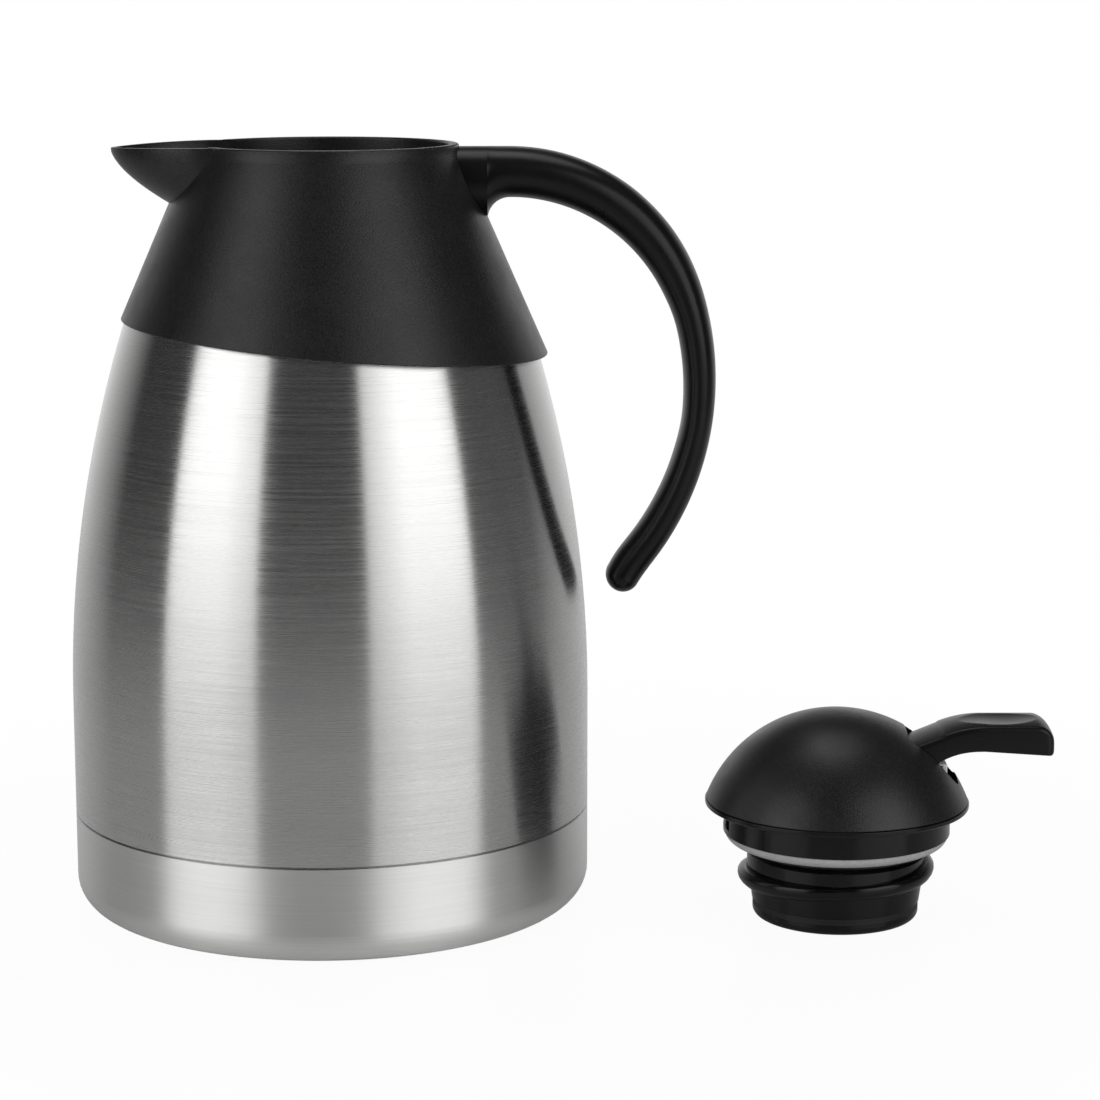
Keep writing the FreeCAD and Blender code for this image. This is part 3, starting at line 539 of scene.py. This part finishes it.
# the studio as the steel sees it: white behind, dim in front between the soft boxes
# each range is the part of that direction over which the brightness grows
studio = {
    "ambient": 0.32, "front": 0.035,
    "back": 0.88, "backRange": (0.3, 1.0), "backdropTop": (0.25, 0.5),
    "right": 0.085, "rightRange": (0.8, 0.95),
    "ceiling": 0.12, "ceilingRange": (0.55, 0.95),
}


def makeWorld():
    world = bpy.data.worlds.new("studio")
    bpy.context.scene.world = world
    world.use_nodes = True
    tree = world.node_tree
    tree.nodes.clear()
    way = addNode(tree, "SeparateXYZ", {}, {0: addNode(tree, "TexCoord").outputs["Generated"]})
    behind = spread(tree, way.outputs["Y"], 0, studio["back"], *studio["backRange"])
    backdrop = spread(tree, way.outputs["Z"], behind, 0, *studio["backdropTop"])
    beside = spread(tree, way.outputs["X"], studio["front"], studio["right"], *studio["rightRange"])
    overhead = spread(tree, way.outputs["Z"], beside, studio["ceiling"], *studio["ceilingRange"])
    seen = addNode(tree, "Math", {"operation": "MAXIMUM"}, {0: backdrop, 1: overhead})
    ray = addNode(tree, "LightPath")
    ambient = addNode(tree, "Background", {}, {"Color": linear(white), "Strength": studio["ambient"]})
    mirrored = addNode(tree, "Background", {}, {"Color": linear(white), "Strength": seen.outputs[0]})
    plain = addNode(tree, "Background", {}, {"Color": linear(white), "Strength": 1})
    shiny = addNode(tree, "Math", {"operation": "MAXIMUM"}, {
        0: ray.outputs["Is Glossy Ray"], 1: ray.outputs["Is Transmission Ray"],
    })
    first = addNode(tree, "MixShader", {}, {
        0: shiny.outputs[0], 1: ambient.outputs[0], 2: mirrored.outputs[0],
    })
    second = addNode(tree, "MixShader", {}, {
        0: ray.outputs["Is Camera Ray"], 1: first.outputs[0], 2: plain.outputs[0],
    })
    addNode(tree, "OutputWorld", {}, {"Surface": second.outputs[0]})


makeWorld()

wattsAtGlow = 4      # per square metre of soft box, at a glow of 1

# soft boxes: azimuth from the camera's side in degrees, places and sizes in metres
# lean goes from 0, flat over the object, to 90, upright
# fade is the brightness at the left and right ends, and the shares of the width between which it changes
softBoxes = {
    "soft box left": {
        "azimuth": -50, "away": 1.3, "middle": 0.775, "width": 1.05, "height": 1.45,
        "lean": 90, "glow": 1.6, "fade": (1.0, 0.65, 0.6, 1.0),
    },
    "soft box right": {
        "azimuth": 45, "away": 1.3, "middle": 0.775, "width": 1.2, "height": 1.45,
        "lean": 90, "glow": 1.6, "fade": (0.5, 1.0, 0.0, 0.4),
    },
    "soft box overhead": {
        "azimuth": 155, "away": 0.14, "middle": 0.65, "width": 0.4, "height": 0.3,
        "lean": 0, "glow": 1.45, "fade": (1.0, 1.0, 0.0, 1.0),
    },
}


def addSoftBox(name, look):
    turn = math.radians(look["azimuth"])
    lamp = bpy.data.lights.new(name, "AREA")
    lamp.shape = "RECTANGLE"
    lamp.size = look["width"]
    lamp.size_y = look["height"]
    lamp.energy = look["glow"] * look["width"] * look["height"] * wattsAtGlow
    lamp.use_nodes = True
    tree = lamp.node_tree
    tree.nodes.clear()
    place = addNode(tree, "NewGeometry")
    across = addNode(tree, "SeparateXYZ", {}, {0: place.outputs["Parametric"]})
    strength = spread(tree, across.outputs["X"], *look["fade"])
    cloth = addNode(tree, "Emission", {}, {"Color": linear(white), "Strength": strength})
    addNode(tree, "OutputLight", {}, {"Surface": cloth.outputs[0]})
    box = bpy.data.objects.new(name, lamp)
    box.location = (math.sin(turn) * look["away"], -math.cos(turn) * look["away"], look["middle"])
    box.rotation_euler = (math.radians(look["lean"]), 0, turn)
    bpy.context.scene.collection.objects.link(box)


for name, look in softBoxes.items():
    addSoftBox(name, look)

# a long lens, a little above the rim, looking down; in mm and degrees
view = {"lens": 103.4, "sensor": 36, "place": (59.55, -841.15, 250.88), "down": 10.45, "nearest": 10}


def addCamera():
    data = bpy.data.cameras.new("camera")
    data.lens = view["lens"]
    data.sensor_width = view["sensor"]
    data.clip_start = view["nearest"] * mm
    camera = bpy.data.objects.new("camera", data)
    camera.location = Vector(view["place"]) * mm
    camera.rotation_euler = (math.radians(90 - view["down"]), 0, 0)
    bpy.context.scene.collection.objects.link(camera)
    bpy.context.scene.camera = camera


addCamera()
bpy.context.scene.view_settings.view_transform = "Standard"
print("floor, lights and camera done")
